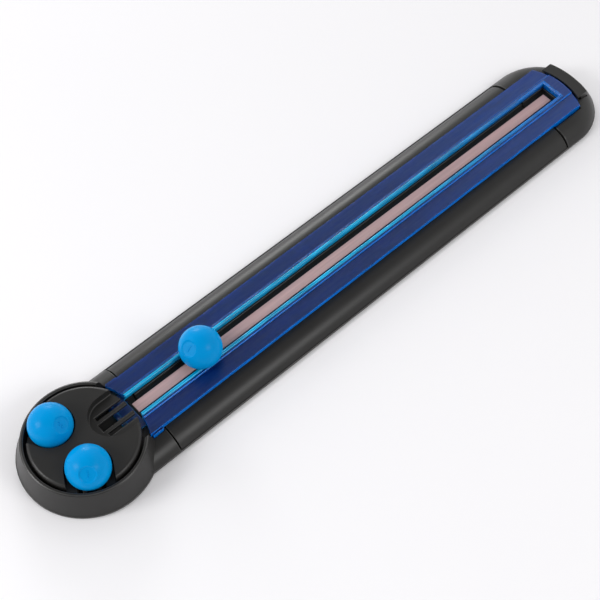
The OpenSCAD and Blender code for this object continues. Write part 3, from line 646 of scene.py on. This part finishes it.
def round_all(piece, width, segments=2, finish_number=-1):
    """Rounds every sharp edge of a piece with a bevel, which may take another of the piece's finishes."""
    pick(piece)
    bpy.ops.object.modifier_add(type="BEVEL")
    bevel = piece.modifiers[-1]
    bevel.width = width
    bevel.segments = segments
    bevel.material = finish_number
    bevel.limit_method = "ANGLE"
    bevel.angle_limit = SHARP_ANGLE
    bpy.ops.object.modifier_apply(modifier=bevel.name)


# Operators, one for each group of pieces

class TRIMMER_OT_stage(Operator):
    """Make the floor, the lamps, the even light and the camera"""

    bl_idname = "trimmer.stage"
    bl_label = "Studio"

    def execute(self, context):
        settings = context.scene.trimmer
        self.floor()
        self.lamps(settings.light)
        self.walls(context.scene, settings.light)
        self.camera(context.scene, settings.view)
        context.scene.view_settings.view_transform = "Standard"
        return {"FINISHED"}

    def floor(self):
        bpy.ops.object.select_all(action="DESELECT")
        bpy.ops.mesh.primitive_plane_add(size=FLOOR_WIDTH)
        floor = named_active("studio_floor")
        floor.data.materials.append(finish("floor"))

    def lamps(self, light):
        powers = (light.left_power, light.right_power, light.back_power)
        for (name, side), power in zip(LAMP_SIDES.items(), powers):
            bpy.ops.object.light_add(type="AREA", location=LAMP_DISTANCE * side.normalized())
            lamp = named_active(name)
            lamp.data.energy = power
            lamp.data.size = light.lamp_size
            lamp.rotation_mode = "QUATERNION"
            lamp.rotation_quaternion = side.to_track_quat("Z", "Y")

    def walls(self, scene, light):
        """Pale walls that darken up towards the ceiling and round to the front."""
        world = bpy.data.worlds.new("Studio walls")
        world.use_nodes = True
        tree = world.node_tree
        background = tree.nodes["Background"]
        background.inputs["Color"].default_value = (1, 1, 1, 1)
        place = tree.nodes.new("ShaderNodeTexCoord")
        split = tree.nodes.new("ShaderNodeSeparateXYZ")
        fade = tree.nodes.new("ShaderNodeMapRange")
        fade.inputs["From Min"].default_value = light.wall_top
        fade.inputs["From Max"].default_value = light.ceiling_edge
        fade.inputs["To Min"].default_value = light.walls
        fade.inputs["To Max"].default_value = light.ceiling
        forward = tree.nodes.new("ShaderNodeVectorMath")
        forward.operation = "DOT_PRODUCT"
        forward.inputs[1].default_value = FRONT
        dim = tree.nodes.new("ShaderNodeMapRange")
        dim.inputs["To Min"].default_value = 1
        dim.inputs["To Max"].default_value = light.front
        strength = tree.nodes.new("ShaderNodeMath")
        strength.operation = "MULTIPLY"
        tree.links.new(place.outputs["Generated"], split.inputs["Vector"])
        tree.links.new(place.outputs["Generated"], forward.inputs[0])
        tree.links.new(split.outputs["Z"], fade.inputs["Value"])
        tree.links.new(forward.outputs["Value"], dim.inputs["Value"])
        tree.links.new(fade.outputs["Result"], strength.inputs[0])
        tree.links.new(dim.outputs["Result"], strength.inputs[1])
        tree.links.new(strength.outputs["Value"], background.inputs["Strength"])
        scene.world = world

    def camera(self, scene, view):
        turn, tilt = view.azimuth, view.elevation
        level = Vector((-math.sin(turn), math.cos(turn), 0))
        back = Vector((0, 0, math.sin(tilt))) - level * math.cos(tilt)
        across = Vector((math.cos(turn), math.sin(turn), 0))
        upright = back.cross(across)
        right = across * math.cos(view.roll) + upright * math.sin(view.roll)
        up = upright * math.cos(view.roll) - across * math.sin(view.roll)
        bpy.ops.object.camera_add()
        camera = named_active("studio_camera")
        place = Matrix((right, up, back)).transposed().to_4x4()
        place.translation = Vector(view.target) + back * view.distance
        camera.matrix_world = place
        camera.data.sensor_width = SENSOR_WIDTH
        camera.data.lens = view.focal_length
        camera.data.clip_start = 0.01
        scene.camera = camera


class TRIMMER_OT_base(Operator):
    """Round the edges of the head, the deck, the end cap and the bottom plate, and paint highlights on them"""

    bl_idname = "trimmer.base"
    bl_label = "Base mouldings"

    def execute(self, context):
        edge = context.scene.trimmer.sizes.housing_edge
        for node in ("head_housing", "deck", "end_cap"):
            self.mould(node, edge, self.top_edges(node), self.seam_edges(node))
        self.mould("bottom_plate", edge, self.lip_edges())
        return {"FINISHED"}

    def mould(self, node, edge, *edge_sets):
        """A copy of a node with each set of edges rounded and painted pale as a highlight."""
        piece = copy_of_node(node, node + "_moulding")
        coat(piece, "charcoal_plastic", "charcoal_painted_highlight")
        for wanted in edge_sets:
            select_sharp(piece, wanted)
            # The roundings take the second finish, which paints a highlight on them.
            round_selected(edge, segments=3, finish_number=EDGE_PAINTED_LIGHT_FINISH, clamp=False)
        dress_moulding(piece, "charcoal_plastic", "base", node)

    def top_edges(self, node):
        """Picks the edges round a moulding's flat top."""
        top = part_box(node)[1].z - LEVEL_TOLERANCE
        return lambda *ends: all(end.z > top for end in ends)

    def seam_edges(self, node):
        """Picks the edges across a moulding's two ends, outside the rail."""
        low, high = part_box(node)
        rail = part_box("clear_rail")[1].y
        starts, stops = low.x + LEVEL_TOLERANCE, high.x - LEVEL_TOLERANCE

        def wanted(*ends):
            outside = all(abs(end.y) > rail for end in ends)
            return outside and (all(end.x < starts for end in ends) or all(end.x > stops for end in ends))

        return wanted

    def lip_edges(self):
        """Picks the edges round the lip of the bottom plate, which stands out from the mouldings on it."""
        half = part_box("end_cap")[1].y
        cap = Vector((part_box("end_cap")[1].x - half, 0))
        head = Vector(JOINTS["carousel_turn"]["pos_m"]).xy
        head_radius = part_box("head_housing")[1].y

        def on_lip(place):
            beyond_cap = place.x > cap.x and (place.xy - cap).length > half
            beyond_head = place.x < head.x and (place.xy - head).length > head_radius
            return beyond_cap or beyond_head or abs(place.y) > half

        return lambda one, other: on_lip(one) and on_lip(other) and abs(one.z - other.z) < LEVEL_TOLERANCE


class TRIMMER_OT_carousel(Operator):
    """Round the edges of the carousel's bays and fillet their floors"""

    bl_idname = "trimmer.carousel"
    bl_label = "Carousel"

    def execute(self, context):
        sizes = context.scene.trimmer.sizes
        piece = copy_of_node("carousel", "carousel_disc")
        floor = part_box("clear_rail")[1].z
        self.fillet_bays(piece, floor, sizes.bay_fillet)
        select_sharp(piece, lambda one, other: max(one.z, other.z) > floor + 2 * sizes.bay_fillet)
        round_selected(sizes.disc_edge, segments=4)
        dress_moulding(piece, "charcoal_plastic", "carousel", "carousel")
        return {"FINISHED"}

    def fillet_bays(self, piece, floor, size):
        """Fillets the round corners at the feet of the bays' walls, which stand at the bays' radius."""
        centre = Vector(JOINTS["carousel_turn"]["pos_m"]).xy
        reach = (Vector(JOINTS["spin_wave"]["pos_m"]).xy - centre).length
        bays = [centre + Matrix.Rotation(turn, 2) @ Vector((reach, 0)) for turn in BAY_TURNS]
        knob = (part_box("knob_wave")[1].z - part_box("knob_wave")[0].z) / 2

        def at_wall(place):
            clear_of_knobs = min((place.xy - bay).length for bay in bays) > knob
            return clear_of_knobs and abs(place.z - floor) < LEVEL_TOLERANCE

        def inside(place):
            return (place.xy - centre).length < reach + knob

        def wanted(one, other):
            return at_wall(one) and at_wall(other) and (inside(one) or inside(other))

        select_sharp(piece, wanted)
        round_selected(size, segments=4)


class TRIMMER_OT_rail(Operator):
    """Round the clear rail's edges, and paint the light that comes out along them"""

    bl_idname = "trimmer.rail"
    bl_label = "Clear rail"

    def execute(self, context):
        sizes = context.scene.trimmer.sizes
        piece = copy_of_node("clear_rail", "guide_rail")
        coat(piece, "clear_blue_plastic", "clear_blue_edge_painted_light", "clear_blue_slot_painted_light")
        reach = self.round_ridge(piece, sizes)
        round_all(piece, sizes.rail_edge, segments=3, finish_number=EDGE_PAINTED_LIGHT_FINISH)
        self.paint_light_on_walls(piece.data, reach)
        dress_moulding(piece, "clear_blue_plastic", "rail", "clear_rail")
        return {"FINISHED"}

    def level(self, mesh, number):
        """The corners on one of the rail's upper levels, counted from its top."""
        steps = sorted({round(corner.co.z / LEVEL_TOLERANCE) for corner in mesh.vertices}, reverse=True)
        height = steps[number] * LEVEL_TOLERANCE
        return [corner.co.copy() for corner in mesh.vertices if abs(corner.co.z - height) < LEVEL_TOLERANCE]

    def round_ridge(self, piece, sizes):
        """Rounds the frame round the slot and the band below it, and says how far the frame reaches."""
        ridge = self.level(piece.data, 0)
        band = self.level(piece.data, 1)
        slot_side = min(abs(place.y) for place in ridge)
        ridge_side = max(abs(place.y) for place in ridge)
        band_side = max(abs(place.y) for place in band)
        self.round_along(piece, ridge[0].z, slot_side, sizes.ridge_inner, 5, SLOT_PAINTED_LIGHT_FINISH)
        self.round_along(piece, ridge[0].z, ridge_side, sizes.ridge_outer, 4, SLOT_PAINTED_LIGHT_FINISH)
        self.round_along(piece, band[0].z, band_side, sizes.band_edge, 5, EDGE_PAINTED_LIGHT_FINISH)
        return Vector((max(place.x for place in ridge), ridge_side + LEVEL_TOLERANCE))

    def round_along(self, piece, height, side, offset, segments, finish_number):
        """Rounds the edges on a level that run along both sides at a distance from the middle."""
        def there(end):
            return abs(end.z - height) < LEVEL_TOLERANCE and abs(abs(end.y) - side) < LEVEL_TOLERANCE

        select_sharp(piece, lambda one, other: there(one) and there(other))
        round_selected(offset, segments, finish_number)

    def paint_light_on_walls(self, mesh, reach):
        """Gives the rail's upright sides the painted light of its edges, and the ridge and the slot their own
        painted light.
        """
        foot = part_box("end_cap")[1].z
        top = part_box("clear_rail")[1].z - LEVEL_TOLERANCE
        for face in mesh.polygons:
            upright = abs(face.normal.z) < UPRIGHT_RISE
            at_slot = face.center.x < reach.x and abs(face.center.y) < reach.y
            if face.center.z < foot:
                face.material_index = FACE_FINISH
            elif at_slot and (upright or face.material_index or face.center.z > top):
                face.material_index = SLOT_PAINTED_LIGHT_FINISH
            elif upright:
                face.material_index = EDGE_PAINTED_LIGHT_FINISH


class TRIMMER_OT_knobs(Operator):
    """Make the ball knobs, each with a dimple that holds the mark of its blade"""

    bl_idname = "trimmer.knobs"
    bl_label = "Ball knobs"

    def execute(self, context):
        sizes = context.scene.trimmer.sizes
        for kind in CUTTERS:
            low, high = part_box("knob_" + kind)
            radius = (high.x - low.x) / 2
            turn = MARK_TURNS[kind]
            out = Vector((math.cos(turn) * math.sin(MARK_LEAN), math.sin(turn) * math.sin(MARK_LEAN),
                          math.cos(MARK_LEAN)))
            across = Vector((-math.sin(turn), math.cos(turn), 0))
            place = Matrix((out.cross(across), -across, out)).transposed().to_4x4()
            place.translation = ((low.x + high.x) / 2, (low.y + high.y) / 2, high.z - radius)
            level = math.sqrt(radius ** 2 - sizes.dimple_radius ** 2) - sizes.dimple_depth
            self.ball(kind, radius, place, low.z, level, sizes)
            self.mark(kind, level, place, sizes)
        return {"FINISHED"}

    def ball(self, kind, radius, place, floor, level, sizes):
        """A ball with its pole pressed in, turned to face its way, cut flat and hollowed from below."""
        bpy.ops.object.select_all(action="DESELECT")
        bpy.ops.mesh.primitive_uv_sphere_add(segments=BALL_SIDES, ring_count=BALL_RINGS, radius=radius)
        ball = named_active("ball_knob_" + kind)
        self.press_in(ball.data, level, sizes)
        ball.matrix_world = place
        settle(ball)
        bpy.ops.object.mode_set(mode="EDIT")
        bpy.ops.mesh.select_all(action="SELECT")
        bpy.ops.mesh.bisect(plane_co=(0, 0, floor), plane_no=(0, 0, -1), use_fill=True, clear_outer=True)
        bpy.ops.mesh.inset(thickness=sizes.knob_wall)
        bpy.ops.mesh.extrude_region_move(TRANSFORM_OT_translate={"value": (0, 0, sizes.knob_hollow)})
        bpy.ops.mesh.select_all(action="SELECT")
        bpy.ops.mesh.normals_make_consistent(inside=False)
        bpy.ops.object.mode_set(mode="OBJECT")
        dress(ball, "azure_plastic", "press_" + kind, "knob_" + kind)

    def press_in(self, mesh, level, sizes):
        """Presses the ball's pole flat at the level of the dimple's floor, with a soft slope round it."""
        bpy.ops.object.mode_set(mode="EDIT")
        bpy.ops.mesh.select_mode(type="VERT")
        bpy.ops.mesh.select_all(action="DESELECT")
        bpy.ops.object.mode_set(mode="OBJECT")
        flat = sizes.dimple_radius - sizes.dimple_slope
        for corner in mesh.vertices:
            corner.select = corner.co.z > 0 and corner.co.xy.length < flat
        bpy.ops.object.mode_set(mode="EDIT")
        bpy.ops.transform.resize(
            value=(1, 1, 0), center_override=(0, 0, level), use_proportional_edit=True,
            proportional_edit_falloff="SMOOTH", proportional_size=sizes.dimple_slope)
        bpy.ops.object.mode_set(mode="OBJECT")

    def mark(self, kind, level, place, sizes):
        """The raised line of a mark on the floor of the dimple: a bar, a wave or a row of dashes."""
        half = sizes.mark_half
        lines = {
            "straight": ((-half, half, 0),),
            "wave": ((-half, half, sizes.mark_wave),),
            "score": ((-half, -0.5 * half, 0), (-0.25 * half, 0.25 * half, 0), (0.5 * half, half, 0)),
        }
        strokes = [self.stroke(f"mark_{kind}_{number}", level, line, half, sizes.mark_radius)
                   for number, line in enumerate(lines[kind])]
        for stroke in strokes:
            stroke.matrix_world = place
            settle(stroke)
            dress(stroke, "azure_plastic", "press_" + kind)

    def stroke(self, name, level, line, half, thick):
        """One line, drawn by extruding a round end step by step over the dimple's floor."""
        start, end, swing = line
        steps = STROKE_STEPS if swing else 1

        def spot(share):
            x = start + (end - start) * share
            return Vector((x, swing * math.sin(2 * math.pi * x / half), level))

        bpy.ops.object.select_all(action="DESELECT")
        bpy.ops.mesh.primitive_circle_add(
            vertices=STROKE_SIDES, radius=thick, fill_type="NGON",
            location=spot(0), rotation=(0, math.pi / 2, 0))
        stroke = named_active(name)
        bpy.ops.object.transform_apply(location=True, rotation=True, scale=True)
        bpy.ops.object.mode_set(mode="EDIT")
        bpy.ops.mesh.select_all(action="SELECT")
        for step in range(steps):
            move = spot((step + 1) / steps) - spot(step / steps)
            bpy.ops.mesh.extrude_region_move(TRANSFORM_OT_translate={"value": move})
        bpy.ops.mesh.select_all(action="SELECT")
        bpy.ops.mesh.normals_make_consistent(inside=False)
        bpy.ops.object.mode_set(mode="OBJECT")
        round_all(stroke, STROKE_ROUNDING * thick, segments=3)
        return stroke


class TRIMMER_OT_springs(Operator):
    """Wind the return springs under the knobs"""

    bl_idname = "trimmer.springs"
    bl_label = "Springs"

    def execute(self, context):
        sizes = context.scene.trimmer.sizes
        for kind in CUTTERS:
            self.spring(kind, sizes.spring_wire, sizes.spring_turns)
        return {"FINISHED"}

    def spring(self, kind, wire, turns):
        low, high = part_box("spring_" + kind)
        centre = Vector(JOINTS["spin_" + kind]["pos_m"]).xy
        radius = (high.x - low.x) / 2 - wire
        bpy.ops.object.select_all(action="DESELECT")
        bpy.ops.mesh.primitive_circle_add(
            vertices=WIRE_SIDES, radius=wire, location=(radius, 0, 0), rotation=(math.pi / 2, 0, 0))
        spring = named_active("return_spring_" + kind)
        bpy.ops.object.transform_apply(location=True, rotation=True, scale=True)
        bpy.ops.object.modifier_add(type="SCREW")
        winding = spring.modifiers[-1]
        winding.iterations = turns
        winding.screw_offset = (high.z - low.z - 2 * wire) / turns
        winding.steps = SPRING_STEPS
        winding.render_steps = SPRING_STEPS
        bpy.ops.object.modifier_apply(modifier=winding.name)
        bpy.ops.object.mode_set(mode="EDIT")
        bpy.ops.mesh.select_all(action="SELECT")
        bpy.ops.mesh.fill_holes(sides=0)
        bpy.ops.mesh.normals_make_consistent(inside=False)
        bpy.ops.object.mode_set(mode="OBJECT")
        spring.location = (centre.x, centre.y, low.z + wire)
        settle(spring)
        dress(spring, "steel", CARRIERS[kind], "spring_" + kind)
        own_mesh(spring)


class TRIMMER_OT_strip(Operator):
    """Make the cutting strip, with the track that the blades have worn along it"""

    bl_idname = "trimmer.strip"
    bl_label = "Cutting strip"

    def execute(self, context):
        sizes = context.scene.trimmer.sizes
        low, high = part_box("cutting_strip")
        bpy.ops.object.select_all(action="DESELECT")
        bpy.ops.mesh.primitive_cube_add(size=1, location=(low + high) / 2, scale=high - low)
        strip = named_active("worn_strip")
        settle(strip)
        for face in strip.data.polygons:
            face.select = face.normal.z > LEVEL_RISE
        bpy.ops.object.mode_set(mode="EDIT")
        bpy.ops.mesh.select_mode(type="FACE")
        bpy.ops.mesh.inset(thickness=sizes.track_side, depth=-sizes.track_depth)
        bpy.ops.object.mode_set(mode="OBJECT")
        round_all(strip, sizes.track_depth, segments=2)
        dress_moulding(strip, "beige_strip", "base", "cutting_strip")
        return {"FINISHED"}


class TRIMMER_OT_feet(Operator):
    """Round the rubber feet"""

    bl_idname = "trimmer.feet"
    bl_label = "Rubber feet"

    def execute(self, context):
        piece = copy_of_node("rubber_feet", "soft_feet")
        round_all(piece, context.scene.trimmer.sizes.foot_edge, segments=3)
        dress_moulding(piece, "black_rubber", "base", "rubber_feet")
        return {"FINISHED"}


class TRIMMER_OT_latch(Operator):
    """Round the latch's edges"""

    bl_idname = "trimmer.latch"
    bl_label = "Latch"

    def execute(self, context):
        sizes = context.scene.trimmer.sizes
        piece = copy_of_node("latch", "end_latch")
        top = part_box("latch")[1].z
        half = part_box("latch")[1].y
        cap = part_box("end_cap")[1].z

        def corner(one, other):
            at_side = min(abs(one.y), abs(other.y)) > half - LEVEL_TOLERANCE
            upright = (one - other).xy.length < LEVEL_TOLERANCE
            return at_side and upright and min(one.z, other.z) > cap

        select_sharp(piece, corner)
        round_selected(sizes.latch_corner, segments=4)
        select_sharp(piece, lambda one, other: min(one.z, other.z) > top - LEVEL_TOLERANCE)
        round_selected(sizes.latch_edge, segments=4)
        dress_moulding(piece, "charcoal_plastic", "latch", "latch")
        return {"FINISHED"}


class TRIMMER_OT_hardware(Operator):
    """Give the pieces that stay as they are their finishes"""

    bl_idname = "trimmer.hardware"
    bl_label = "Hardware"

    def execute(self, context):
        slots = {part["node"]: part["material_slot"] for part in frame["record"]["subparts"]}
        for name, node in NODES.items():
            node.data.materials.clear()
            node.data.materials.append(finish(slots[name]))
        return {"FINISHED"}


class TRIMMER_PT_sidebar(Panel):
    """Lists the trimmer's operators and settings"""

    bl_idname = "TRIMMER_PT_sidebar"
    bl_label = "Paper Trimmer"
    bl_space_type = "VIEW_3D"
    bl_region_type = "UI"
    bl_category = "Trimmer"

    def draw(self, context):
        for step in STEPS:
            self.layout.operator(step.bl_idname)
        settings = context.scene.trimmer
        for group in (settings.colours, settings.sizes, settings.view, settings.light):
            box = self.layout.box()
            for name in group.bl_rna.properties.keys():
                if name not in ("rna_type", "name"):
                    box.prop(group, name)


GROUPS = (FinishColours, FormSizes, ViewPlace, StudioLight, TrimmerSettings)
STEPS = (
    TRIMMER_OT_stage, TRIMMER_OT_hardware, TRIMMER_OT_base, TRIMMER_OT_strip, TRIMMER_OT_feet,
    TRIMMER_OT_carousel, TRIMMER_OT_rail, TRIMMER_OT_latch, TRIMMER_OT_knobs, TRIMMER_OT_springs,
)


def register():
    """Registers the classes and hangs the settings on the scene."""
    for made in (*GROUPS, *STEPS, TRIMMER_PT_sidebar):
        bpy.utils.register_class(made)
    bpy.types.Scene.trimmer = PointerProperty(type=TrimmerSettings)


def unregister():
    """Takes the settings and the classes away again."""
    del bpy.types.Scene.trimmer
    for made in reversed((*GROUPS, *STEPS, TRIMMER_PT_sidebar)):
        bpy.utils.unregister_class(made)


def main():
    """Builds the dressed trimmer."""
    register()
    for step in STEPS:
        group, name = step.bl_idname.split(".")
        getattr(getattr(bpy.ops, group), name)()


if __name__ == "__main__":
    main()
